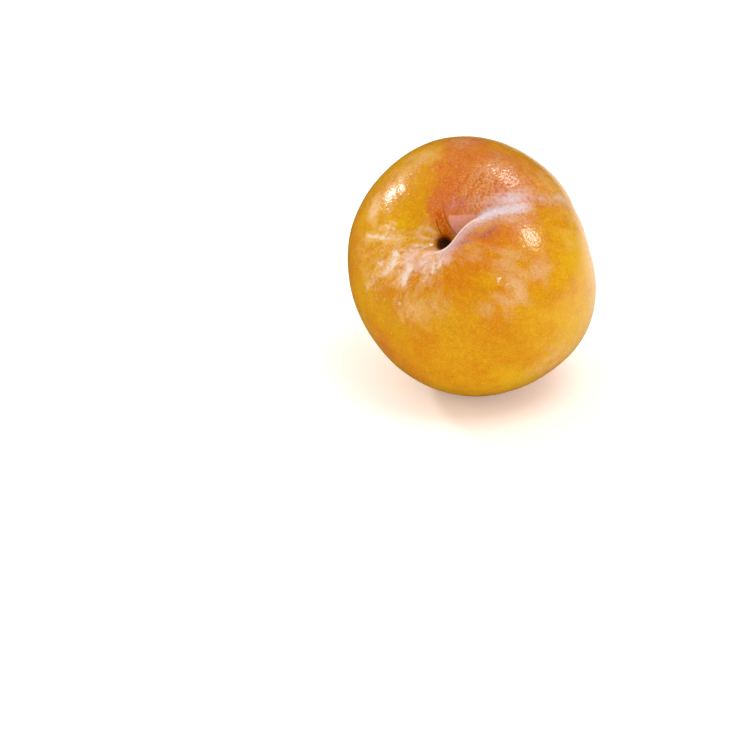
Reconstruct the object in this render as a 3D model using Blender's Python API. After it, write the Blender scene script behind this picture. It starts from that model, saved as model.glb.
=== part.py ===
"""A whole yellow plum of the lemon-plum kind, lying on its side.

The fruit is one solid: a body a little wider across its cheeks than along its suture, with a stem
cavity, a dry scar where the stem came away, a suture groove that runs from the scar down one side,
a blunt nipple at the blossom end, and a small flat spot where it rests.

It is modelled first in the fruit's own frame, with +Z out through the stem cavity, +X towards the
suture and +Y towards the far cheek. It is then tipped into its resting pose, +Z up, with the origin
at the middle of its base.
"""

import math

import bmesh
import bpy
from mathutils import Matrix, Vector

MM = 0.001
MODEL_NAME = "plum"

# Body
RADIUS = 28.9 * MM  # through the middle of the fruit
ALONG_SUTURE = 0.965  # radius towards the suture, as a part of RADIUS
ACROSS_CHEEKS = 1.03  # radius towards the cheeks
STEM_END_FLAT = 1.6 * MM  # how far the shoulders at the stem end sit below the round
STEM_END_SPREAD = math.radians(46)
BLOSSOM_END_RISE = 1.2 * MM  # how far the body draws out towards the blossom end
BLOSSOM_END_SPREAD = math.radians(40)
NIPPLE_RISE = 4.6 * MM
NIPPLE_SPREAD = math.radians(12)

# Broad swells and flats of the skin: polar angle from the stem, angle round from the suture
# towards the far cheek, spread (all in degrees) and rise in millimetres.
SWELLS = (
    (102, -10, 16, -1.2),  # flat beside the lower end of the suture
    (74, 71, 22, 0.9),  # far cheek
    (71, 140, 20, 0.5),  # shoulder behind the far cheek
    (99, -133, 26, 0.25),  # belly
    (110, -88, 22, -0.4),  # flat low on the near cheek
    (111, -56, 18, 0.85),  # near cheek, swelling beside the suture
)

# Stem cavity: a wide dish with a narrow throat, and the dry scar where the stem came away
DISH_DEPTH = 2.3 * MM
DISH_RADIUS = 8.0 * MM
THROAT_DEPTH = 3.0 * MM
THROAT_RADIUS = 3.6 * MM
CAVITY_STRETCH = 1.25  # how much longer the cavity is towards the suture than away from it
SCAR_DEPTH = 0.7 * MM
SCAR_RADIUS = 1.6 * MM

# Suture groove, measured along the skin from the stem axis
SUTURE_DEPTH = 0.55 * MM
SUTURE_DEPTH_AT_STEM = 1.5 * MM  # added near the stem
SUTURE_DEEPEST = 8.0 * MM
SUTURE_DEEP_LENGTH = 9.0 * MM
SUTURE_START = 5.0 * MM
SUTURE_END = 52 * MM
SUTURE_FADE = 22 * MM
FAR_BANK = 3.2 * MM  # width of the gentle bank on the far cheek's side
FAR_BANK_AT_STEM = 3.0 * MM  # added near the stem
FAR_BANK_LENGTH = 12.0 * MM

# Steep wall where the near cheek stands over the cavity and the groove
WALL_OFFSET = 0.15 * MM
WALL_BOW = 2.4 * MM  # how far the wall bows away from the scar
WALL_BOW_LENGTH = 5.0 * MM
WALL_WIDTH = 1.8 * MM
WALL_WIDTH_AT_SCAR = 0.9 * MM  # added beside the scar
WALL_WIDTH_SPREAD = 4.5 * MM
WALL_WIDENING = 0.06  # how fast the wall widens along the suture

# Resting pose and foot
STEM_ELEVATION = math.radians(37.4)  # of the stem end above the table
STEM_HEADING = math.radians(23.8)  # of the stem end from -Y towards -X
SUTURE_ROLL = math.radians(38.9)  # of the suture above the horizontal, about the stem axis
FOOT_DEPTH = 0.45 * MM  # how much of the round the flat spot takes off

# Mesh
SEGMENTS = 88
RINGS = 48
SUTURE_CROWDING = 0.6  # draws the segments together at the suture
STEM_CROWDING = 1.25  # draws the rings together at the stem end
END_CROWDING = 0.45  # draws the rings together at both ends

SKIN_COLOUR = (0.80, 0.36, 0.02, 1.0)
SKIN_ROUGHNESS = 0.35


def clear_scene():
    for obj in list(bpy.data.objects):
        bpy.data.objects.remove(obj, do_unlink=True)


def bell(distance, spread):
    """1 at no distance, falling smoothly to nothing beyond about twice the spread."""
    return math.exp(-((distance / spread) ** 2))


def ease(x):
    """From 0 to 1 with level ends."""
    x = min(max(x, 0.0), 1.0)
    return x * x * (3 - 2 * x)


def direction(polar, around):
    return Vector(
        (
            math.sin(polar) * math.cos(around),
            math.sin(polar) * math.sin(around),
            math.cos(polar),
        )
    )


def swell(towards):
    """Height that the broad swells and flats add in a direction."""
    height = 0.0
    for polar, around, spread, rise in SWELLS:
        middle = direction(math.radians(polar), math.radians(around))
        height += rise * MM * math.exp(-0.5 * (towards.angle(middle, 0.0) / math.radians(spread)) ** 2)
    return height


def cavity_depth(along, across):
    """Depth of the dish and the throat, at a place beside the stem axis."""
    if along > 0:
        along /= CAVITY_STRETCH
    out = math.hypot(along, across)
    return DISH_DEPTH * bell(out, DISH_RADIUS) + THROAT_DEPTH * bell(out, THROAT_RADIUS)


def groove_depth(along, across):
    """Depth of the suture groove, at a place beside the suture."""
    floor = SUTURE_DEPTH + SUTURE_DEPTH_AT_STEM * bell(along - SUTURE_DEEPEST, SUTURE_DEEP_LENGTH)
    floor *= ease((along + 1 * MM) / SUTURE_START)
    floor *= 1 - ease((along - SUTURE_END) / SUTURE_FADE)
    bank = FAR_BANK + FAR_BANK_AT_STEM * bell(along - SUTURE_START, FAR_BANK_LENGTH)
    return floor * math.exp(-((max(across, 0.0) / bank) ** 1.5))


def near_wall(along, across):
    """0 on the near cheek and 1 in the valley, with the steep wall between them."""
    middle = WALL_OFFSET - WALL_BOW * bell(along, WALL_BOW_LENGTH)
    width = WALL_WIDTH + WALL_WIDTH_AT_SCAR * bell(along, WALL_WIDTH_SPREAD) + WALL_WIDENING * abs(along)
    return ease((across - middle) / width + 0.5)


def valley(towards):
    """Depth of the stem cavity and the suture groove in a direction."""
    along = RADIUS * math.atan2(towards.x, towards.z)
    across = RADIUS * math.asin(max(-1.0, min(1.0, towards.y)))
    depth = cavity_depth(along, across) + groove_depth(along, across)
    return depth * near_wall(along, across)


def skin_point(polar, around):
    """A point of the skin in the fruit's own frame."""
    towards = direction(polar, around)
    body = RADIUS / math.hypot(towards.x / ALONG_SUTURE, towards.y / ACROSS_CHEEKS, towards.z)
    body -= STEM_END_FLAT * bell(polar, STEM_END_SPREAD)
    body += BLOSSOM_END_RISE * bell(math.pi - polar, BLOSSOM_END_SPREAD)
    body += NIPPLE_RISE * bell(math.pi - polar, NIPPLE_SPREAD)
    scar = SCAR_DEPTH * bell(RADIUS * polar, SCAR_RADIUS)
    return towards * (body + swell(towards) - valley(towards) - scar)


def resting_pose():
    return (
        Matrix.Rotation(-STEM_HEADING, 4, "Z")
        @ Matrix.Rotation(math.pi / 2 - STEM_ELEVATION, 4, "X")
        @ Matrix.Rotation(SUTURE_ROLL, 4, "Z")
    )


def shape_fruit(mesh):
    """Turns the points of a round ball into the fruit."""
    for vert in mesh.verts:
        polar = math.acos(max(-1.0, min(1.0, vert.co.z)))
        around = math.atan2(vert.co.y, vert.co.x)
        part = (polar / math.pi) ** STEM_CROWDING
        polar = math.pi * part - END_CROWDING / 2 * math.sin(2 * math.pi * part)
        around -= SUTURE_CROWDING * math.sin(around)
        vert.co = skin_point(polar, around)


def cut_foot(mesh):
    """Takes off the lowest part of the round and closes the cut with a flat face."""
    lowest = min(vert.co.z for vert in mesh.verts)
    level = Vector((0, 0, lowest + FOOT_DEPTH))
    everything = mesh.verts[:] + mesh.edges[:] + mesh.faces[:]
    cut = bmesh.ops.bisect_plane(
        mesh, geom=everything, plane_co=level, plane_no=Vector((0, 0, -1)), clear_outer=True
    )
    rim = [item for item in cut["geom_cut"] if isinstance(item, bmesh.types.BMEdge)]
    bmesh.ops.contextual_create(mesh, geom=rim)
    for edge in rim:
        edge.smooth = False


def stand_on_origin(mesh):
    """Moves the middle of the base to the origin."""
    xs, ys, zs = zip(*(vert.co for vert in mesh.verts))
    middle = Vector(((min(xs) + max(xs)) / 2, (min(ys) + max(ys)) / 2, min(zs)))
    bmesh.ops.translate(mesh, vec=-middle, verts=mesh.verts)


def skin_material():
    material = bpy.data.materials.new("plum_skin")
    material.use_nodes = True
    shader = material.node_tree.nodes["Principled BSDF"]
    shader.inputs["Base Color"].default_value = SKIN_COLOUR
    shader.inputs["Roughness"].default_value = SKIN_ROUGHNESS
    shader.inputs["Metallic"].default_value = 0.0
    material.diffuse_color = SKIN_COLOUR
    return material


def make_plum(collection):
    mesh = bmesh.new()
    bmesh.ops.create_uvsphere(mesh, u_segments=SEGMENTS, v_segments=RINGS, radius=1.0)
    shape_fruit(mesh)
    bmesh.ops.transform(mesh, matrix=resting_pose(), verts=mesh.verts)
    cut_foot(mesh)
    stand_on_origin(mesh)
    bmesh.ops.recalc_face_normals(mesh, faces=mesh.faces)
    data = bpy.data.meshes.new("plum")
    mesh.to_mesh(data)
    mesh.free()
    data.shade_smooth()
    data.set_sharp_from_angle(angle=math.radians(40))
    plum = bpy.data.objects.new("plum", data)
    plum.data.materials.append(skin_material())
    collection.objects.link(plum)
    return plum


def main():
    clear_scene()
    collection = bpy.data.collections.new(MODEL_NAME)
    bpy.context.scene.collection.children.link(collection)
    make_plum(collection)


main()
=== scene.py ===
"""The finish of a whole yellow plum: its skin, the table it lies on, the studio light and the camera.

The CAD node gives the fruit's place and size. A finer mesh of the same fruit stands for it here, with
the rings of the scar, the creases, the wrinkles and the low folds that the coarse solid leaves out.
Its colours lie on that mesh as soft fields, and the skin's material breaks them up.

Shapes are worked out in the fruit's own frame: +Z out through the stem cavity, +X towards the suture
and +Y towards the far cheek. A place on the skin is in millimetres from the stem scar: along the
suture, and across it towards the far cheek.
"""

import math

import bmesh
import bpy
import numpy as np
from mathutils import Matrix, Vector, noise


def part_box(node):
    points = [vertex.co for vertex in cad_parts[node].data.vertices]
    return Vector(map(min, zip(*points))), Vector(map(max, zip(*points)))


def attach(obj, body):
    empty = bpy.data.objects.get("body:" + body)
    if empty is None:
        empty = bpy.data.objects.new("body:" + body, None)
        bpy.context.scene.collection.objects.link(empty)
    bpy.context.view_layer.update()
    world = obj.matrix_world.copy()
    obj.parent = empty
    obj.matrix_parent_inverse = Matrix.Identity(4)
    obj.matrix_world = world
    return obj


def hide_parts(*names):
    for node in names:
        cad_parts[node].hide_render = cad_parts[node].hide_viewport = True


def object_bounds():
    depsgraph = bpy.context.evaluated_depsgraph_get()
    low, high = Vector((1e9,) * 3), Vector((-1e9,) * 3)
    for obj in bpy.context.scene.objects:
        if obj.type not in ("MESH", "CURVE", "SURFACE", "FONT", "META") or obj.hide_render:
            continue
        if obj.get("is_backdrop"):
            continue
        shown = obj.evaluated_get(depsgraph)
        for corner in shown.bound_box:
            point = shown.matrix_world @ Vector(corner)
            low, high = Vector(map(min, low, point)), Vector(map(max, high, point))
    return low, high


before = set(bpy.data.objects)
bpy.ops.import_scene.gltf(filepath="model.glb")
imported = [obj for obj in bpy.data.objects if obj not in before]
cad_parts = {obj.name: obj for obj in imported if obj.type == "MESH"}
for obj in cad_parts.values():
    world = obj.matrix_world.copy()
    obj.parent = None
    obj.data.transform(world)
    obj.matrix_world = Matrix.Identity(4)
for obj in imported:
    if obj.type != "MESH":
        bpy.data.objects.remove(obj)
cad_low, cad_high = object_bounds()

MM = 0.001

# ---------------------------------------------------------------- the fruit's sizes, in millimetres

RADIUS = 28.9
ALONG_SUTURE, ACROSS_CHEEKS = 0.965, 1.03
STEM_END_FLAT, STEM_END_SPREAD = 1.6, math.radians(46)
BLOSSOM_END_RISE, BLOSSOM_END_SPREAD = 1.2, math.radians(40)
NIPPLE_RISE, NIPPLE_SPREAD = 4.6, math.radians(12)

# Broad swells and flats: polar angle, angle round from the suture, spread (degrees), rise (mm)
SWELLS = (
    (102, -10, 16, -1.2),
    (74, 71, 22, 0.9),
    (71, 140, 20, 0.5),
    (99, -133, 26, 0.25),
    (110, -88, 22, -0.4),
    (111, -56, 18, 0.85),
)

# The stem cavity is a wide dish with a narrow throat in it, both longer on the suture's side
DISH_DEPTH, DISH_SPREAD = 2.3, 8.0
THROAT_DEPTH, THROAT_SPREAD = 3.0, 3.6
CAVITY_STRETCH = 1.25

# The suture groove is deepest beside the cavity and fades out over the fruit's side
GROOVE_DEPTH, GROOVE_START, GROOVE_RISE = 0.55, -1, 5
GROOVE_EXTRA_DEPTH, GROOVE_DEEPEST, GROOVE_SPREAD = 1.5, 8, 9
GROOVE_END, GROOVE_FADE = 52, 22

# Its bank on the far cheek is gentle and widest beside the cavity
BANK_WIDTH, BANK_CURVE = 3.2, 1.5
BANK_EXTRA_WIDTH, BANK_WIDEST, BANK_SPREAD = 3.0, 5, 12

# The near cheek stands over it as a steep wall. Each bow moves the wall across by so much, at a place
# along the suture and within a spread of it. The wall is wider at the scar. It widens with each
# millimetre along the suture, and faster from BEHIND_SCAR back.
WALL_ACROSS = 0.15
WALL_BOWS = ((-2.4, 0, 5), (0.5, 8, 4), (1.1, 15, 6))
WALL_WIDTH, WALL_EXTRA_WIDTH, WALL_SPREAD = 1.1, 1.0, 4.5
WALL_WIDENS, WALL_WIDENS_BEHIND, BEHIND_SCAR = 0.10, 0.7, -2

SCAR_RADIUS, SCAR_DEPTH, SCAR_EDGE = 2.3, 0.5, 0.6
SCAR_HOLLOW, SCAR_HOLLOW_SPREAD = 0.6, 1.5
RING_SPACING, RING_HEIGHT = 0.55, 0.08  # the corky rings of the scar
CREASE_WIDTH, CREASE_DEPTH = 0.25, 0.12
DENT_DEPTH, FLUTE_DEPTH, PIMPLE_HEIGHT, PIMPLE_RADIUS = 0.22, 0.11, 0.16, 0.5

# Wrinkles of the squeezed skin, wide ones and finer, lower ones, all drawn out across the suture
WRINKLE_HEIGHT, WRINKLE_WIDTH, WRINKLE_SHARPNESS = 0.14, 0.75, 0.35
FINE_WRINKLE_SHARE, FINE_WRINKLE_WIDTH = 0.6, 0.4
WRINKLE_STRETCH = (0.8, 1.5, 0.8)

# Folds that run with the fibres, highest on the shoulder, and the slow unevenness of a grown skin
FOLD_WIDTH, FOLD_HEIGHT, SHOULDER_FOLD_HEIGHT = 3.5, 0.05, 0.16
SWELL_HEIGHT, SWELL_WIDTH = 0.10, 9
RIPPLE_HEIGHT, RIPPLE_WIDTH = 0.03, 3

STEM_ELEVATION = math.radians(37.4)
STEM_HEADING = math.radians(23.8)
SUTURE_ROLL = math.radians(38.9)
FOOT_DEPTH = 0.45
FOOT_SOFTNESS = 0.25

# The skin's fibres fan out from the stem, and patterns that follow them are drawn out FIBRE_STRETCH
# times. The scale of their width holds at FIBRE_REACH from the stem.
FIBRE_REACH, FIBRE_STRETCH = 14.0, 2.3
THREAD_SPACING, THREAD_WIDTH = 1.3, 0.5  # of the threads that powder gathers on, the width as a part

# Edges of colours wander by up to DRIFT in slow waves and fray by up to FRAY in small ones
DRIFT, DRIFT_WAVE = 1.3, 4.0
FRAY, FRAY_WAVE = 0.4, 1.1
DRIFT_DEGREES = 8  # for each millimetre of drift

# The mesh is finer at the cavity and along the suture
SEGMENTS, RINGS = 400, 240
SUTURE_CROWDING, STEM_CROWDING, END_CROWDING = 0.6, 1.25, 0.45


# ---------------------------------------------------------------- soft marks on the skin


def bell(distance, spread):
    return np.exp(-((distance / spread) ** 2))


def ease(x):
    """A smooth step from 0 at 0 to 1 at 1."""
    x = np.clip(x, 0.0, 1.0)
    return x * x * (3 - 2 * x)


def strongest(*fields):
    return np.maximum.reduce(fields)


def direction(polar, around):
    return np.stack([np.sin(polar) * np.cos(around), np.sin(polar) * np.sin(around), np.cos(polar)], -1)


def cap(towards, polar, around, spread):
    """1 in one direction from the middle of the fruit, fading with the angle from it (degrees)."""
    middle = direction(math.radians(polar), math.radians(around))
    return bell(np.degrees(np.arccos(np.clip(towards @ middle, -1, 1))), spread)


def spot(places, middle, length, width, turn=0):
    """1 at a place beside the stem, fading over an oval of that half length and half width."""
    c, s = math.cos(math.radians(turn)), math.sin(math.radians(turn))
    x, y = places[0] - middle[0], places[1] - middle[1]
    return bell(np.hypot((x * c + y * s) / length, (y * c - x * s) / width), 1.0)


def ring(places, middle, length, width, turn=0):
    """A soft ring about an oval line of that half length and half width."""
    inside, outside, strength = 0.65, 1.25, 1.6
    disc = spot(places, middle, outside * length, outside * width, turn)
    return disc * (1 - spot(places, middle, inside * length, inside * width, turn)) * strength


def line(places, start, end, width):
    """1 on the line between two places beside the stem, fading within that width of it."""
    x, y = places[0] - start[0], places[1] - start[1]
    run, rise = end[0] - start[0], end[1] - start[1]
    part = np.clip((x * run + y * rise) / (run**2 + rise**2), 0, 1)
    return bell(np.hypot(x - part * run, y - part * rise), width)


def noise_of(points, size, seed=0):
    """Smooth noise from -1 to 1, over features of that size in millimetres."""
    return np.array([noise.noise(Vector(point) / size) for point in points + seed])


def ridges_of(points, size, width, seed=0):
    """1 along the lines where the noise changes sign, fading within that part of its height."""
    return 1 - np.clip(np.abs(noise_of(points, size, seed)) / width, 0, 1)


# ---------------------------------------------------------------- the fruit's shape


def cavity_depth(along, across):
    """The wide dish and the narrow throat round the stem scar."""
    out = np.hypot(np.where(along > 0, along / CAVITY_STRETCH, along), across)
    return DISH_DEPTH * bell(out, DISH_SPREAD) + THROAT_DEPTH * bell(out, THROAT_SPREAD)


def groove_depth(along, across):
    """The suture groove, with its gentle bank on the far cheek's side."""
    floor = GROOVE_DEPTH + GROOVE_EXTRA_DEPTH * bell(along - GROOVE_DEEPEST, GROOVE_SPREAD)
    floor *= ease((along - GROOVE_START) / GROOVE_RISE) * (1 - ease((along - GROOVE_END) / GROOVE_FADE))
    bank = BANK_WIDTH + BANK_EXTRA_WIDTH * bell(along - BANK_WIDEST, BANK_SPREAD)
    return floor * np.exp(-((np.maximum(across, 0) / bank) ** BANK_CURVE))


def wall_middle(along):
    """How far across the steep wall of the near cheek stands. It bows away from the scar."""
    return WALL_ACROSS + sum(bow * bell(along - place, spread) for bow, place, spread in WALL_BOWS)


def wall_width(along):
    """The wall is steepest beside the scar and spreads out behind it and along the suture."""
    width = WALL_WIDTH + WALL_EXTRA_WIDTH * bell(along, WALL_SPREAD) + WALL_WIDENS * np.abs(along)
    return width + WALL_WIDENS_BEHIND * np.maximum(BEHIND_SCAR - along, 0)


def near_wall(along, across):
    """0 on the near cheek and 1 in the valley."""
    return ease((across - wall_middle(along)) / wall_width(along) + 0.5)


def scar_rings(out):
    return np.cos(2 * math.pi * out / RING_SPACING)


def scar_depth(out):
    """A sunken disc of cork with rings on it."""
    disc = SCAR_DEPTH + RING_HEIGHT * scar_rings(out)
    disc *= 1 - ease((out - SCAR_RADIUS) / SCAR_EDGE + 0.5)
    return disc + SCAR_HOLLOW * bell(out, SCAR_HOLLOW_SPREAD)


def creases(places):
    """Thin folds that climb the far wall of the cavity from the scar, and two faint ones behind it."""
    return strongest(
        line(places, (1.2, 5.4), (0.8, 3.9), CREASE_WIDTH),
        line(places, (0.8, 3.9), (0.7, 2.6), CREASE_WIDTH),
        0.5 * line(places, (4.7, 8.4), (3.9, 6.4), CREASE_WIDTH),
        0.8 * line(places, (3.9, 6.4), (3.5, 4.6), CREASE_WIDTH),
        0.8 * line(places, (3.5, 4.6), (3.6, 2.8), CREASE_WIDTH),
        0.4 * line(places, (-5.4, 4.2), (-6.9, 5.0), CREASE_WIDTH),
        0.4 * line(places, (-6.6, 1.2), (-5.3, 0.9), 0.3),
    )


def dents_and_pimples(places):
    """Small marks that stand out from the skin or lie in it, with a shallow flute on the shoulder."""
    height = -DENT_DEPTH * line(places, (8.8, 18.9), (10.8, 17.4), 0.55)
    height -= FLUTE_DEPTH * line(places, (-6.4, 12), (-6.4, 24), 1.2)
    for middle in ((-17.4, -6.6), (-14.3, -10.0)):
        height += PIMPLE_HEIGHT * spot(places, middle, PIMPLE_RADIUS, PIMPLE_RADIUS)
    return height


def squeezed(places):
    """Where the far cheek's bank was squeezed towards the groove, from 0 to 1."""
    return strongest(
        spot(places, (17, 9), 10, 6, 5),
        spot(places, (13, 5), 6, 3.5),
        0.4 * spot(places, (12, 16), 16, 12),
    )


def crinkles(own):
    """Wrinkles of a squeezed skin, from 0 between them to 1.6 where a wide and a fine one cross."""
    stretched = own / WRINKLE_STRETCH
    wide = ridges_of(stretched, WRINKLE_WIDTH, WRINKLE_SHARPNESS)
    fine = ridges_of(stretched, FINE_WRINKLE_WIDTH, WRINKLE_SHARPNESS, seed=50)
    return wide + FINE_WRINKLE_SHARE * fine


def low_folds(skin):
    """Folds that run down the shoulders from the cavity, over the slow unevenness of a grown skin."""
    shoulder = spot(skin.exact, (-8, 14), 16, 13, -20)
    folds = noise_of(skin.fibre, FOLD_WIDTH) * (FOLD_HEIGHT + SHOULDER_FOLD_HEIGHT * shoulder)
    swells = SWELL_HEIGHT * noise_of(skin.own, SWELL_WIDTH)
    return folds + swells + RIPPLE_HEIGHT * noise_of(skin.own, RIPPLE_WIDTH, seed=80)


def body_radius(polar, towards):
    x, y, z = towards.T
    body = RADIUS / np.sqrt((x / ALONG_SUTURE) ** 2 + (y / ACROSS_CHEEKS) ** 2 + z**2)
    body -= STEM_END_FLAT * bell(polar, STEM_END_SPREAD)
    body += BLOSSOM_END_RISE * bell(math.pi - polar, BLOSSOM_END_SPREAD)
    body += NIPPLE_RISE * bell(math.pi - polar, NIPPLE_SPREAD)
    for middle_polar, middle_around, spread, rise in SWELLS:
        body += rise * cap(towards, middle_polar, middle_around, spread * math.sqrt(2))
    return body


def resting_pose():
    pose = (
        Matrix.Rotation(-STEM_HEADING, 3, "Z")
        @ Matrix.Rotation(math.pi / 2 - STEM_ELEVATION, 3, "X")
        @ Matrix.Rotation(SUTURE_ROLL, 3, "Z")
    )
    return np.array(pose)


def stand_in_place(points):
    """Rests the fruit where the CAD solid rests, on a flat spot with a soft edge."""
    points = points @ resting_pose().T
    low, high = points.min(axis=0), points.max(axis=0)
    middle = np.array((cad_low + cad_high) / 2) / MM
    points[:, :2] += middle[:2] - (low + high)[:2] / 2
    height = points[:, 2] - low[2] - FOOT_DEPTH
    points[:, 2] = (height + np.sqrt(height**2 + FOOT_SOFTNESS**2)) / 2
    points[:, 2] -= points[:, 2].min()
    return points * MM


# ---------------------------------------------------------------- where each colour lies


class Skin:
    """Every point of the skin, by its angles and by its place beside the stem.

    A place is exact, or frayed for marks with a rough edge, or drifting for clouds of colour.
    """

    def __init__(self, polar, around):
        self.out = RADIUS * polar
        self.from_tip = 180 - np.degrees(polar)
        self.towards = direction(polar, around)
        self.own = self.towards * RADIUS
        fan = FIBRE_REACH * np.cos(around), FIBRE_REACH * np.sin(around)
        self.fibre = np.stack([*fan, self.out / FIBRE_STRETCH], -1)
        self.threads = ridges_of(self.fibre, THREAD_SPACING, THREAD_WIDTH)

        along = RADIUS * np.arctan2(self.towards[:, 0], self.towards[:, 2])
        across = RADIUS * np.arcsin(np.clip(self.towards[:, 1], -1, 1))
        fray = [FRAY * noise_of(self.own, FRAY_WAVE, seed) for seed in (60, 70)]
        drift = [DRIFT * noise_of(self.own, DRIFT_WAVE, seed) for seed in (20, 40)]
        self.along, self.across = along, across
        self.exact = along, across
        self.frayed = along + fray[0], across + fray[1]
        self.drifting = along + drift[0] + fray[0], across + drift[1] + fray[1]
        self.drift_across = drift[1]
        self.turn = np.degrees(around) + DRIFT_DEGREES * drift[0]

        # The lip is where the near cheek turns over into its wall. The valley is behind it.
        self.lip = across - wall_middle(along) + wall_width(along) / 2
        self.behind_lip = ease(self.lip / 0.8)
        self.before_lip = bell(np.maximum(self.lip, 0), 0.6)


def ripe_colours(skin):
    """The blush with its rose clouds, the amber and lemon of the rest, and the inside of the cavity, whose
    facet is partly painted bounce light.
    """
    at, along, across, out, towards = skin.drifting, skin.along, skin.across, skin.out, skin.towards

    blush_edge = 71 + 38 * bell(out, 10)
    blush = ease((blush_edge + 16 - skin.turn) / 34) * ease((skin.turn + 75) / 30)
    blush *= skin.behind_lip * ease((out - 2.5) / 3)
    blush *= 0.15 + 0.85 * (1 - ease((along - 18) / 20))
    blush = np.maximum(blush, 0.75 * bell(skin.from_tip, 15))
    rose = skin.behind_lip * strongest(
        1.0 * spot(at, (8.5, 6.0), 6, 3.2, -20),
        0.8 * spot(at, (21, 24), 8, 3.5),
        0.6 * spot(at, (26, 16), 6, 4),
        0.5 * spot(at, (13, 19), 4, 3),
        0.7 * spot(at, (-1.2, 5.8), 1.8, 1.4),
        0.5 * spot(at, (3.4, 8), 3, 2.5),
        0.8 * spot(at, (15, 4.5), 6, 3),
        1.0 * spot(skin.frayed, (3.9, 1.5), 2.0, 1.1),
    )
    amber = strongest(
        1.0 * spot(at, (12, -4.4), 10, 3.0, -3),
        0.6 * spot(at, (5, -8), 8, 4),
        0.8 * spot(at, (10, 11), 5, 5),
        0.5 * spot(at, (28, 6), 16, 10),
        0.55 * spot(at, (-2, -13), 8, 6),
        0.9 * spot(at, (12, -6.5), 7, 2.5),
        0.5 * cap(towards, 60, 150, 25),
        0.65 * cap(towards, 66, -158, 17),
        0.4 * cap(towards, 110, 20, 40),
    )
    lemon = strongest(
        1.0 * cap(towards, 78, -26, 27),
        1.0 * cap(towards, 88, -58, 30),
        0.9 * cap(towards, 85, -95, 22),
        0.6 * spot(at, (-7, 8), 5, 3.5, -30),
        0.6 * spot(at, (4, 24), 9, 7),
        0.5 * cap(towards, 125, -170, 40),
    )

    # The facet is a smooth pink plane low on the far wall, with a straight top and a curved side. Its pale
    # pink is partly the bare skin's own colour and partly painted light, the glow that the near cheek
    # bounces onto it
    facet = skin.behind_lip * ease((5.8 - 0.42 * (along - 4) - across) / 0.6)
    facet *= ease((along - 3.6 - 0.13 * (across - 3) ** 2) / 0.6) * (1 - ease((along - 9) / 4))
    throat = skin.behind_lip * strongest(
        line(skin.frayed, (2.4, 6.2), (2.1, 2.6), 1.3),
        bell(np.hypot(along - 1.2, across - 1.6), 2.6),
    )
    return {
        "lemon": lemon,
        "amber": amber,
        "blush": blush,
        "rose": rose,
        "throat": throat,
        "facet": facet,
    }


def lip_colours(skin):
    """The lip is white with bloom along the suture and pink beside the scar, with peach below it."""
    along, lip, at = skin.along, skin.lip, skin.drifting
    lip_edge = bell(lip - 0.15, 0.35) * ease((along + 4) / 3) * (1 - ease((along - 9) / 4))
    lip_white = bell(np.where(lip > 0, lip / 1.7, lip / 1.1), 1.0)
    lip_white *= ease((along - 6) / 6) * (1 - ease((along - 19) / 8))
    lip_pink = bell(np.minimum(lip + 0.6, 0), 1.4) * skin.before_lip
    lip_pink *= ease((along + 3) / 3) * (1 - ease((along - 9) / 9))
    peach = bell(np.minimum(lip + 1.5, 0), 2.6) * ease((along + 1) / 4) * (1 - ease((along - 16) / 8))
    peach = strongest(peach, 0.7 * spot(at, (20, -4), 6, 3)) * skin.before_lip
    beside_lip = skin.behind_lip * bell(np.maximum(lip - 1.2, 0), 1.8)
    beside_lip *= ease((along - 8) / 5) * (1 - ease((along - 20) / 8))
    lavender = strongest(
        beside_lip,
        1.0 * spot(at, (20, 2.6), 6, 2.6, -8),
        0.6 * spot(at, (15, 4.0), 5, 2.4, -20),
        0.5 * spot(at, (28, 1.8), 5, 1.8),
        0.6 * spot(at, (37, 1.2), 5.5, 2.0),
        0.5 * spot(at, (17, -1.6), 6, 0.9),
        0.4 * line(skin.frayed, (7.8, 8.4), (6.4, 6.6), 0.5),
    )
    return {
        "peach": peach,
        "lip_pink": lip_pink,
        "lavender": lavender,
        "lip_white": lip_white,
        "lip_edge": lip_edge,
    }


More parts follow.
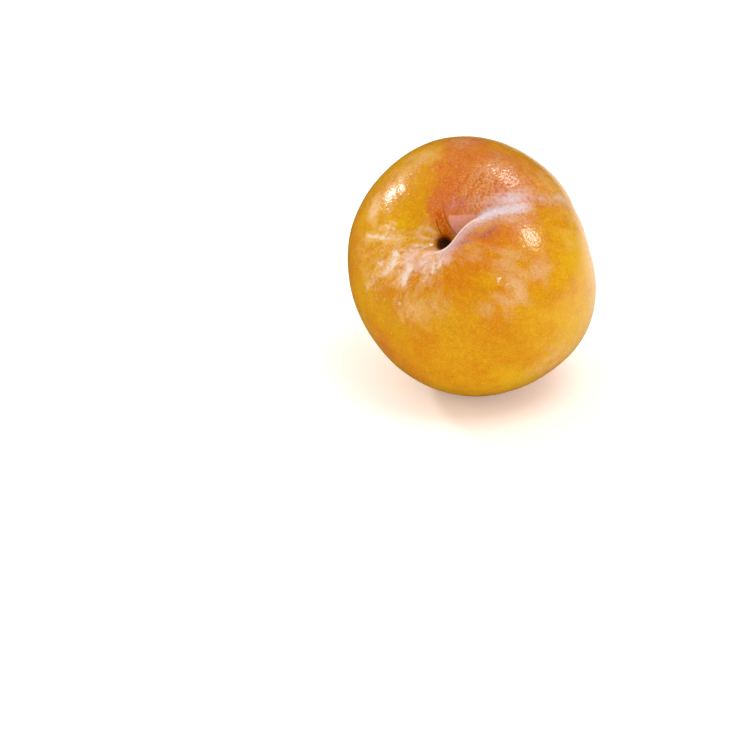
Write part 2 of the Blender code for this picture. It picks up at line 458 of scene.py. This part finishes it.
def bloom_colours(skin):
    """The wax bloom: thick powder beside the cavity, a straw haze round it and thin veils elsewhere. A
    pale patch below the shoulder's highlight is partly painted highlight.
    """
    at, fine, towards = skin.drifting, skin.frayed, skin.towards
    streaks = strongest(
        1.2 * line(fine, (-11.0, 2.2), (-13.0, 0.6), 1.3),
        1.1 * line(fine, (-13.0, 0.6), (-16.0, 0.0), 1.1),
        0.55 * line(fine, (-17.5, 0.2), (-23.0, 0.8), 0.8),
        1.0 * spot(fine, (-16.0, 3.0), 1.7, 1.1, -30),
        1.1 * line(fine, (-9.0, -2.6), (-12.4, -4.6), 1.15),
        0.9 * line(fine, (-3.4, -4.8), (-4.6, -6.4), 0.9),
        0.8 * line(fine, (-5.8, -5.6), (-7.2, -7.0), 0.8),
        1.1 * spot(fine, (-2.2, -5.6), 1.8, 1.0, 20),
        0.7 * line(fine, (-6.6, 2.2), (-3.4, 0.4), 0.5),
        0.9 * line(fine, (-9.0, 8.0), (-11.0, 9.8), 0.5),
        0.8 * line(fine, (-12.4, 7.4), (-9.0, 5.2), 0.45),
        1.0 * line(fine, (-17.6, 11.2), (-12.4, 7.4), 0.55),
    )
    network = strongest(
        1.0 * spot(at, (-11, 0), 5, 6),
        0.9 * spot(at, (-5, -4.5), 5, 3),
        0.8 * spot(at, (-13, 7), 6, 4, -30),
        0.6 * spot(at, (-19, 0), 5, 5),
        0.3 * spot(at, (-14, -8), 6, 5),
    )
    powder = strongest(streaks * (0.6 + 0.4 * skin.threads), 0.65 * network * skin.threads)
    pink_powder = strongest(
        1.0 * spot(at, (-4.4, -3.0), 5.0, 2.8, 12),
        1.0 * spot(at, (-8.0, -0.8), 3.2, 2.0, 30),
        0.8 * line(at, (-8.5, -3.0), (-12, -4.4), 1.4),
        0.9 * line(at, (-1.5, -2.4), (-0.6, -5.4), 1.8),
        0.7 * ring(fine, (-2.7, 3.6), 1.9, 1.5, -20),
        0.9 * ring(fine, (-6.0, 1.0), 1.6, 1.0, -10),
        # partly painted highlight: the pale halo below the shoulder's highlight
        0.6 * spot(at, (-14.2, 16.6), 2.2, 2.6),
        0.5 * spot(at, (23, 3.6), 8, 4.5, -5),
        0.5 * line(at, (28, 1), (42, 0), 2.5),
        0.5 * spot(at, (19, -2.4), 5, 1.4),
    )
    straw = strongest(
        1.0 * spot(at, (-13, 1), 5, 4),
        0.9 * line(at, (-9, 5.4), (-17.5, 10.8), 1.6),
        0.9 * line(at, (-9, 8.8), (-12.6, 10.6), 1.4),
        0.8 * line(at, (-9, -2.6), (-14.6, -4), 2.0),
        0.7 * line(at, (-15, 2), (-23, 1), 2.0),
        # partly painted highlight: the pale halo below the shoulder's highlight
        1.2 * spot(at, (-14.5, 17), 3, 5, -10),
        0.6 * spot(at, (-8, 19), 5, 4),
        0.5 * spot(at, (-20, 6), 5, 8),
        0.8 * spot(at, (-15, -10.5), 5.5, 5),
        0.55 * spot(at, (34, 7), 9, 7),
        0.6 * spot(at, (40, -4), 8, 3),
        0.6 * cap(towards, 89, -74, 15),
        0.4 * spot(at, (33, -9), 6, 5),
    )
    suture_line = bell(skin.across + 0.3 * skin.drift_across, 1.0) * ease((skin.along - 44) / 12)
    veil = strongest(
        0.7 * spot(at, (-7, -7.5), 6, 2.0),
        0.9 * cap(towards, 42, -56, 8),
        0.8 * cap(towards, 43, -66, 8),
        1.0 * cap(towards, 45, -61, 6.5),
        0.5 * cap(towards, 40, -82, 6),
        0.8 * cap(towards, 50, -42, 8),
        0.7 * cap(towards, 34, -45, 9),
        0.6 * cap(towards, 30, -120, 8),
        0.6 * spot(at, (6, -7.5), 5, 2.5),
        0.8 * spot(at, (3, 24), 9, 5),
        0.6 * spot(at, (20, 25), 8, 4),
        0.5 * spot(at, (-6, 20), 7, 5),
        0.6 * spot(at, (20, 12), 8, 4),
        0.8 * cap(towards, 160, 75, 9),
        0.6 * cap(towards, 163, -30, 7),
        0.6 * cap(towards, 150, 60, 12),
        0.5 * cap(towards, 120, 150, 24),
        0.5 * cap(towards, 100, -170, 20),
        0.5 * suture_line,
    )
    return {"straw": straw, "veil": veil, "pink_powder": pink_powder, "powder": powder}


def small_marks(skin):
    """Mauve specks below the lip, a mauve tip, pale scratches and pimples, painted shade along the
    creases, and the corky scar.
    """
    at, fine, exact, out = skin.drifting, skin.frayed, skin.exact, skin.out
    specks = strongest(0.65 * spot(at, (11, -3.6), 4.0, 1.8, -5), 0.55 * spot(at, (7, -2.4), 5, 1.4))
    mauve = 0.9 * strongest(line(fine, (2.4, -3.2), (6.8, -4.1), 0.5), bell(skin.from_tip, 5))
    ticks = strongest(
        line(exact, (8.8, -15.4), (9.3, -14.2), 0.18),
        line(exact, (9.1, -14.6), (9.9, -14.5), 0.18),
        line(exact, (10.6, -16.4), (11.6, -16.1), 0.18),
        0.8 * spot(exact, (-16.5, -7.8), 0.5, 0.5),
        0.6 * spot(exact, (-14, -11), 0.5, 0.5),
    )
    return {
        "mauve": mauve,
        "specks": specks,
        "ticks": ticks,
        "creases": creases(exact),
        "cork_rim": 1 - ease((out - SCAR_RADIUS) / 0.8 + 0.5),
        "cork": bell(np.maximum(out - 1.6, 0), 0.55) * (0.9 - 0.12 * scar_rings(out)),
    }


# ---------------------------------------------------------------- the fruit's mesh


def crowded_ball():
    """A ball whose points crowd towards the cavity and the suture, and their two angles."""
    ball = bmesh.new()
    bmesh.ops.create_uvsphere(ball, u_segments=SEGMENTS, v_segments=RINGS, radius=1.0)
    data = bpy.data.meshes.new("plum_fruit")
    ball.to_mesh(data)
    ball.free()

    flat = np.empty(len(data.vertices) * 3)
    data.vertices.foreach_get("co", flat)
    x, y, z = flat.reshape(-1, 3).T
    part = (np.arccos(np.clip(z, -1, 1)) / math.pi) ** STEM_CROWDING
    polar = math.pi * part - END_CROWDING / 2 * np.sin(2 * math.pi * part)
    around = np.arctan2(y, x)
    around -= SUTURE_CROWDING * np.sin(around)
    return data, polar, around


def make_fruit():
    data, polar, around = crowded_ball()
    skin = Skin(polar, around)
    along, across = skin.exact
    where_squeezed = squeezed(skin.exact)
    ridges = crinkles(skin.own) * where_squeezed

    radius = body_radius(polar, skin.towards)
    radius -= (cavity_depth(along, across) + groove_depth(along, across)) * near_wall(along, across)
    radius -= scar_depth(skin.out) + CREASE_DEPTH * creases(skin.exact)
    radius += dents_and_pimples(skin.exact) + WRINKLE_HEIGHT * ridges
    radius += low_folds(skin)
    points = stand_in_place(skin.towards * radius[:, None])
    data.vertices.foreach_set("co", points.ravel())
    data.update()
    data.shade_smooth()

    fields = ripe_colours(skin) | lip_colours(skin) | bloom_colours(skin) | small_marks(skin)
    # The ridges field also lays pale gold on the wrinkle crests, partly their paler wax and partly painted
    # highlight
    fields |= {"ridges": ridges, "squeezed": where_squeezed}
    for name, values in fields.items():
        values = np.clip(values, 0, 1).astype(np.float32)
        data.attributes.new(name, "FLOAT", "POINT").data.foreach_set("value", values)
    attribute = data.attributes.new("fibre", "FLOAT_VECTOR", "POINT")
    attribute.data.foreach_set("vector", skin.fibre.astype(np.float32).ravel())

    fruit = bpy.data.objects.new("plum_fruit", data)
    bpy.context.scene.collection.objects.link(fruit)
    return fruit


# ---------------------------------------------------------------- finish

# The layers of colour on the golden ground, from the first laid to the last: field, colour, size of
# the flecks that break its edge (mm), how ragged that edge is, how well it covers, and whether its
# flecks run with the fibres from the stem.
LAYERS = (
    ("lemon", "#d8ac0c", 3.0, 1.3, 0.75, False),
    ("amber", "#c96816", 3.0, 1.0, 0.85, False),
    ("blush", "#c5682a", 1.8, 1.8, 0.90, False),
    ("rose", "#c06c57", 1.6, 1.1, 0.80, False),
    ("throat", "#b85100", 1.5, 0.3, 0.90, False),
    # the facet's pale pink is partly painted bounce light from the near cheek
    ("facet", "#d99a8b", 2.5, 0.4, 0.90, False),
    # the ridges' pale gold is partly painted highlight on the wrinkle crests
    ("ridges", "#e0a86c", 0.8, 0.4, 0.60, False),
    ("straw", "#e4ba78", 1.2, 1.4, 0.80, True),
    ("veil", "#d7ae7e", 1.5, 1.4, 0.80, True),
    ("peach", "#cb8b66", 1.2, 1.6, 0.85, False),
    ("mauve", "#9f6678", 0.8, 0.5, 0.60, False),
    ("specks", "#8c4557", 0.45, 3.0, 1.00, False),
    ("pink_powder", "#dcb8aa", 1.0, 1.3, 0.90, False),
    ("powder", "#e0d5c9", 0.9, 1.05, 0.92, False),
    ("lip_pink", "#cbaaac", 0.6, 1.2, 0.80, False),
    ("lavender", "#d1bec2", 0.7, 1.25, 0.90, False),
    ("lip_white", "#d2c9d4", 0.9, 1.0, 0.90, False),
    ("lip_edge", "#e4d5d1", 1.0, 0.1, 0.80, False),
    ("ticks", "#f2e8d9", 0.5, 0.1, 0.90, False),
    # the creases' dark brown is painted shade in the folds
    ("creases", "#80380c", 0.6, 0.2, 0.85, False),
    ("cork_rim", "#984907", 0.5, 0.2, 0.90, False),
    ("cork", "#29150b", 0.5, 0.1, 1.00, False),
)
BLOOM = ("pink_powder", "powder", "lip_pink", "lavender", "lip_white", "lip_edge", "ticks")
EDGE_WIDTH = 0.9  # of a layer's edge, as a part of its field's height

# The ground of the skin: its two golds in clouds, a mottle and pale fibres, with their sizes (mm)
GOLD, AMBER_GOLD, CLOUD_SIZE = "#cc9700", "#c88000", 10
MOTTLE_BROWN, MOTTLE_SIZE = "#bc6800", 1.0
FIBRE_YELLOW, FIBRE_WIDTH = "#dca80b", 2.0

# Dots on the skin, pores and then lenticels: spacing (mm), the radii where a dot starts and stops
# fading (as parts of the spacing), and strength
DOT_YELLOW = "#e6bc30"
DOTS = ((0.6, 0.1, 0.4, 0.28), (1.6, 0.06, 0.18, 0.4))
SPECKLE_SIZE, SPECKLE_STRENGTH = 0.45, 0.14

# The wrinkles' thin dark lines, painted shade in their grooves: spacing (mm), and a scale under 1 that
# draws them out upwards
WRINKLE_BROWN, WRINKLE_SPACING, WRINKLE_SCALE = "#a04a18", 0.8, (1.0, 1.0, 0.55)
WRINKLE_SHADE, WRINKLE_RELIEF = 0.5, 0.5

# The relief (mm). Its domes are drawn coarser than a real skin's, so that they show.
DOME_WIDTH, GRAIN_SIZE, RELIEF_DEPTH = 0.75, 0.6, 0.031

# The wax has a half gloss where it is bare, and bloom makes it matt
BARE_ROUGHNESS, BLOOM_ROUGHNESS = 0.24, 0.85
WAX_COAT, WAX_ROUGHNESS = 0.35, 0.18

FACTOR, UNDER, OVER, MIXED = 0, 6, 7, 2  # the sockets of a Mix node that mixes colours


def colour(hex_code):
    """An sRGB hex colour as linear RGBA."""
    channels = [int(hex_code[i : i + 2], 16) / 255 for i in (1, 3, 5)]
    return (*(c / 12.92 if c <= 0.04045 else ((c + 0.055) / 1.055) ** 2.4 for c in channels), 1.0)


def add(tree, kind, links=None, **settings):
    """Adds a node. links gives each of its inputs a value, or the node or output that feeds it."""
    node = tree.nodes.new(kind)
    for name, value in settings.items():
        setattr(node, name, value)
    for socket, value in (links or {}).items():
        if isinstance(value, bpy.types.Node):
            value = next(output for output in value.outputs if output.enabled)
        if isinstance(value, bpy.types.NodeSocket):
            tree.links.new(value, node.inputs[socket])
        else:
            node.inputs[socket].default_value = value
    return node


def golden_ground(tree, mm, fibre):
    """Gold with amber clouds, a fine mottle, and pale fibres that run from the stem."""
    clouds = add(tree, "ShaderNodeTexNoise", {"Vector": mm, "Scale": 1 / CLOUD_SIZE, "Detail": 3})
    clouds = add(tree, "ShaderNodeMapRange", {"Value": clouds, "From Min": 0.35, "From Max": 0.65})
    skin = add(
        tree,
        "ShaderNodeMix",
        {FACTOR: clouds, UNDER: colour(GOLD), OVER: colour(AMBER_GOLD)},
        data_type="RGBA",
    )
    mottle = add(
        tree,
        "ShaderNodeTexNoise",
        {"Vector": mm, "Scale": 1 / MOTTLE_SIZE, "Detail": 4, "Roughness": 0.7},
    )
    mottle = add(
        tree, "ShaderNodeMapRange", {"Value": mottle, "From Min": 0.5, "From Max": 0.7, "To Max": 0.4}
    )
    skin = add(
        tree, "ShaderNodeMix", {FACTOR: mottle, UNDER: skin, OVER: colour(MOTTLE_BROWN)}, data_type="RGBA"
    )
    strands = add(tree, "ShaderNodeTexNoise", {"Vector": fibre, "Scale": 1 / FIBRE_WIDTH, "Detail": 2})
    strands = add(
        tree, "ShaderNodeMapRange", {"Value": strands, "From Min": 0.5, "From Max": 0.8, "To Max": 0.5}
    )
    return add(
        tree, "ShaderNodeMix", {FACTOR: strands, UNDER: skin, OVER: colour(FIBRE_YELLOW)}, data_type="RGBA"
    )


def flecked_layers(tree, skin, mm, fibre):
    """Lays the colours of LAYERS, and says how much bloom there is in all."""
    bloom = 0.0
    for name, hex_code, fleck_size, raggedness, cover, runs_with_fibre in LAYERS:
        field = add(tree, "ShaderNodeAttribute", attribute_name=name).outputs["Fac"]
        place = fibre if runs_with_fibre else mm
        flecks = add(
            tree,
            "ShaderNodeTexNoise",
            {"Vector": place, "Scale": 1 / fleck_size, "Detail": 3, "Roughness": 0.6},
        )
        edge = add(
            tree, "ShaderNodeMath", {0: flecks, 1: 2 * raggedness, 2: field}, operation="MULTIPLY_ADD"
        )
        amount = add(
            tree,
            "ShaderNodeMapRange",
            {"Value": edge, "From Min": raggedness, "From Max": raggedness + EDGE_WIDTH, "To Max": cover},
            interpolation_type="SMOOTHSTEP",
        )
        amount = add(tree, "ShaderNodeMath", {0: amount, 1: field}, operation="MULTIPLY")
        skin = add(
            tree, "ShaderNodeMix", {FACTOR: amount, UNDER: skin, OVER: colour(hex_code)}, data_type="RGBA"
        )
        if name in BLOOM:
            bloom = add(tree, "ShaderNodeMath", {0: bloom, 1: amount}, operation="MAXIMUM")
    return skin, bloom


def dots_and_speckle(tree, skin, mm):
    """Pale pores 0.3 mm wide, wider lenticels further apart, and a fine grain over all."""
    scar = add(tree, "ShaderNodeAttribute", attribute_name="cork_rim").outputs["Fac"]
    for spacing, middle, edge, strength in DOTS:
        dots = add(tree, "ShaderNodeTexVoronoi", {"Vector": mm, "Scale": 1 / spacing})
        dots = add(
            tree,
            "ShaderNodeMapRange",
            {"Value": dots, "From Min": middle, "From Max": edge, "To Min": strength, "To Max": 0.0},
        )
        dots = add(tree, "ShaderNodeMapRange", {"Value": scar, "To Min": dots, "To Max": 0.0})
        skin = add(
            tree, "ShaderNodeMix", {FACTOR: dots, UNDER: skin, OVER: colour(DOT_YELLOW)}, data_type="RGBA"
        )
    speckle = add(tree, "ShaderNodeTexNoise", {"Vector": mm, "Scale": 1 / SPECKLE_SIZE, "Detail": 2})
    speckle = add(tree, "ShaderNodeMapRange", {"Value": speckle, "From Min": 0.3, "From Max": 0.7})
    return add(
        tree,
        "ShaderNodeMix",
        {FACTOR: SPECKLE_STRENGTH, UNDER: skin, OVER: speckle},
        data_type="RGBA",
        blend_type="OVERLAY",
    )


def wrinkle_lines(tree, mm):
    """Thin lines where the skin was squeezed, from 0 to 1."""
    drawn_out = add(tree, "ShaderNodeVectorMath", {0: mm, 1: WRINKLE_SCALE}, operation="MULTIPLY")
    lines = add(
        tree, "ShaderNodeTexNoise", {"Vector": drawn_out, "Scale": 1 / WRINKLE_SPACING, "Detail": 2}
    )
    lines = add(tree, "ShaderNodeMath", {0: lines, 1: 0.5}, operation="SUBTRACT")
    lines = add(tree, "ShaderNodeMath", {0: lines}, operation="ABSOLUTE")
    lines = add(
        tree, "ShaderNodeMapRange", {"Value": lines, "From Max": 0.05, "To Min": 1.0, "To Max": 0.0}
    )
    where = add(tree, "ShaderNodeAttribute", attribute_name="squeezed").outputs["Fac"]
    return add(tree, "ShaderNodeMath", {0: lines, 1: where}, operation="MULTIPLY")


def skin_relief(tree, mm, wrinkles):
    """Low domes on a finer grain, with the wrinkles cut into them."""
    domes = add(tree, "ShaderNodeTexVoronoi", {"Vector": mm, "Scale": 1 / DOME_WIDTH})
    grain = add(tree, "ShaderNodeTexNoise", {"Vector": mm, "Scale": 1 / GRAIN_SIZE, "Detail": 2})
    relief = add(tree, "ShaderNodeMath", {0: domes, 1: domes, 2: grain}, operation="MULTIPLY_ADD")
    relief = add(
        tree, "ShaderNodeMath", {0: wrinkles, 1: WRINKLE_RELIEF, 2: relief}, operation="MULTIPLY_ADD"
    )
    return add(tree, "ShaderNodeBump", {"Height": relief, "Distance": RELIEF_DEPTH * MM}, invert=True)


def waxed_plum_skin():
    """Yellow plum skin: a thin peel over translucent flesh, with a natural wax and a powdery bloom.

    It grew, so its colour is flecked and never even. The wax gives it a half gloss where the bloom
    has rubbed off, and the bloom is matt and pale where it is left.
    """
    material = bpy.data.materials.new("waxed_plum_skin")
    material.use_nodes = True
    tree = material.node_tree
    shader = tree.nodes["Principled BSDF"]

    place = add(tree, "ShaderNodeTexCoord").outputs["Object"]
    mm = add(tree, "ShaderNodeVectorMath", {0: place, "Scale": 1 / MM}, operation="SCALE")
    fibre = add(tree, "ShaderNodeAttribute", attribute_name="fibre").outputs["Vector"]

    skin = golden_ground(tree, mm, fibre)
    skin, bloom = flecked_layers(tree, skin, mm, fibre)
    skin = dots_and_speckle(tree, skin, mm)
    wrinkles = wrinkle_lines(tree, mm)
    # Painted shade: the wrinkles' grooves are darkened towards brown
    shade = add(tree, "ShaderNodeMath", {0: wrinkles, 1: WRINKLE_SHADE}, operation="MULTIPLY")
    skin = add(
        tree, "ShaderNodeMix", {FACTOR: shade, UNDER: skin, OVER: colour(WRINKLE_BROWN)}, data_type="RGBA"
    )
    tree.links.new(skin.outputs[MIXED], shader.inputs["Base Color"])

    roughness = add(
        tree, "ShaderNodeMapRange", {"Value": bloom, "To Min": BARE_ROUGHNESS, "To Max": BLOOM_ROUGHNESS}
    )
    tree.links.new(roughness.outputs[0], shader.inputs["Roughness"])
    wax = add(tree, "ShaderNodeMapRange", {"Value": bloom, "To Min": WAX_COAT, "To Max": 0.0})
    tree.links.new(wax.outputs[0], shader.inputs["Coat Weight"])
    shader.inputs["Coat Roughness"].default_value = WAX_ROUGHNESS
    shader.inputs["IOR"].default_value = 1.42
    shader.inputs["Specular IOR Level"].default_value = 0.3
    shader.inputs["Sheen Weight"].default_value = 0.18
    shader.inputs["Sheen Roughness"].default_value = 0.4
    shader.inputs["Sheen Tint"].default_value = colour("#ffde74")
    shader.inputs["Subsurface Weight"].default_value = 0.35
    shader.inputs["Subsurface Radius"].default_value = (1.0, 0.4, 0.1)
    shader.inputs["Subsurface Scale"].default_value = 1.2 * MM

    relief = skin_relief(tree, mm, wrinkles)
    tree.links.new(relief.outputs[0], shader.inputs["Normal"])
    tree.links.new(relief.outputs[0], shader.inputs["Coat Normal"])
    return material


def opal_acrylic_table():
    """Opal acrylic sheet lit softly from below: no gloss, no pattern that shows, and light shadows."""
    material = bpy.data.materials.new("opal_acrylic_table")
    material.use_nodes = True
    shader = material.node_tree.nodes["Principled BSDF"]
    shader.inputs["Base Color"].default_value = colour("#ffffff")
    shader.inputs["Roughness"].default_value = 1.0
    shader.inputs["Specular IOR Level"].default_value = 0.0
    shader.inputs["Emission Color"].default_value = colour("#ffffff")
    shader.inputs["Emission Strength"].default_value = 0.18
    return material


def soft_edged_card():
    """White card, shaded towards its edges, so that its reflection has no edge."""
    material = bpy.data.materials.new("white_card")
    material.use_nodes = True
    tree = material.node_tree
    place = add(tree, "ShaderNodeTexCoord").outputs["Object"]
    place = add(tree, "ShaderNodeVectorMath", {0: place, "Scale": 1 / CARD_HALF_SIDE}, operation="SCALE")
    white = add(tree, "ShaderNodeTexGradient", {"Vector": place}, gradient_type="SPHERICAL")
    white = add(
        tree,
        "ShaderNodeMapRange",
        {"Value": white, "From Max": 0.5},
        interpolation_type="SMOOTHSTEP",
    )
    tree.links.new(white.outputs[0], tree.nodes["Principled BSDF"].inputs["Base Color"])
    return material


# ---------------------------------------------------------------- studio

TABLE_HALF_SIDE = 6.0
CARD_HALF_SIDE, CARD_SCALE = 0.5, (0.36, 0.6, 1.0)
CARD_PLACE = (0.14, 0.17, 0.1 * MM)

# Lamps: the way to each from the fruit, how far off and how wide it is (m), its power (W), and
# whether the gloss and the skin's own colour see it
LAMPS = (
    ("softbox", (0.25, -0.23, 0.90), 1.2, 0.7, 4.3, False, True),
    ("front_lamp", (0.45, -0.80, 0.32), 1.2, 0.6, 1.6, False, True),
    ("left_lamp", (-0.696, 0.551, 0.461), 0.9, 0.13, 2.4, True, True),
    ("right_lamp", (0.406, 0.426, 0.808), 0.9, 0.18, 2.0, True, False),
    ("side_lamp", (0.710, -0.263, 0.652), 0.9, 0.18, 2.4, True, False),
)
STUDIO_WALLS, STUDIO_STRENGTH = "#fff1e6", 0.9

LENS, SENSOR_WIDTH = 110, 36  # millimetres
VIEW_ELEVATION = math.radians(28)
VIEW_WIDTH = 168.2 * MM  # at the fruit's distance
FRUIT_RIGHT, FRUIT_UP = 0.1415, 0.138  # from the middle of the view, as parts of its width


def flat_square(name, half_side, material):
    mesh = bmesh.new()
    bmesh.ops.create_grid(mesh, x_segments=1, y_segments=1, size=half_side)
    data = bpy.data.meshes.new(name)
    mesh.to_mesh(data)
    mesh.free()
    data.materials.append(material)
    square = bpy.data.objects.new(name, data)
    bpy.context.scene.collection.objects.link(square)
    square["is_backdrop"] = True
    return square


def make_table():
    """The table isn't mirrored in the fruit, which keeps the gold deep low on its sides."""
    table = flat_square("table", TABLE_HALF_SIDE, opal_acrylic_table())
    table.visible_glossy = False


def make_reflector():
    """A card that lies behind the fruit, for its gloss only: it gives the right side a pale rim."""
    reflector = flat_square("reflector", CARD_HALF_SIDE, soft_edged_card())
    reflector.location = CARD_PLACE
    reflector.scale = CARD_SCALE
    reflector.visible_camera = False
    reflector.visible_diffuse = False
    reflector.visible_shadow = False


def aim(obj, place, target):
    obj.location = place
    obj.rotation_mode = "QUATERNION"
    obj.rotation_quaternion = (Vector(target) - Vector(place)).to_track_quat("-Z", "Y")


def light_studio(centre):
    for name, towards, distance, size, watts, in_gloss, in_diffuse in LAMPS:
        lamp = bpy.data.lights.new(name, "AREA")
        lamp.shape = "DISK"
        lamp.size = size
        lamp.energy = watts
        obj = bpy.data.objects.new(name, lamp)
        obj.visible_glossy = in_gloss
        obj.visible_diffuse = in_diffuse
        bpy.context.scene.collection.objects.link(obj)
        aim(obj, Vector(centre) + Vector(towards).normalized() * distance, centre)
    world = bpy.data.worlds.new("warm_studio")
    bpy.context.scene.world = world
    world.use_nodes = True
    world.cycles_visibility.glossy = False
    background = world.node_tree.nodes["Background"]
    background.inputs["Color"].default_value = colour(STUDIO_WALLS)
    background.inputs["Strength"].default_value = STUDIO_STRENGTH


def make_camera(centre):
    camera = bpy.data.cameras.new("camera")
    camera.lens = LENS
    camera.sensor_width = SENSOR_WIDTH
    obj = bpy.data.objects.new("camera", camera)
    bpy.context.scene.collection.objects.link(obj)
    right = Vector((1, 0, 0))
    up = Vector((0, math.sin(VIEW_ELEVATION), math.cos(VIEW_ELEVATION)))
    back = Vector((0, -math.cos(VIEW_ELEVATION), math.sin(VIEW_ELEVATION)))
    distance = VIEW_WIDTH / SENSOR_WIDTH * LENS
    target = Vector(centre) - VIEW_WIDTH * (FRUIT_RIGHT * right + FRUIT_UP * up)
    aim(obj, target + distance * back, target)
    bpy.context.scene.camera = obj


fruit = make_fruit()
fruit.data.materials.append(waxed_plum_skin())
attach(fruit, "root")
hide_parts("plum")

low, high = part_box("plum")
middle = [(a + b) / 2 for a, b in zip(low, high)]
make_table()
make_reflector()
light_studio(middle)
make_camera(middle)
bpy.context.scene.view_settings.view_transform = "Standard"

low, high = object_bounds()
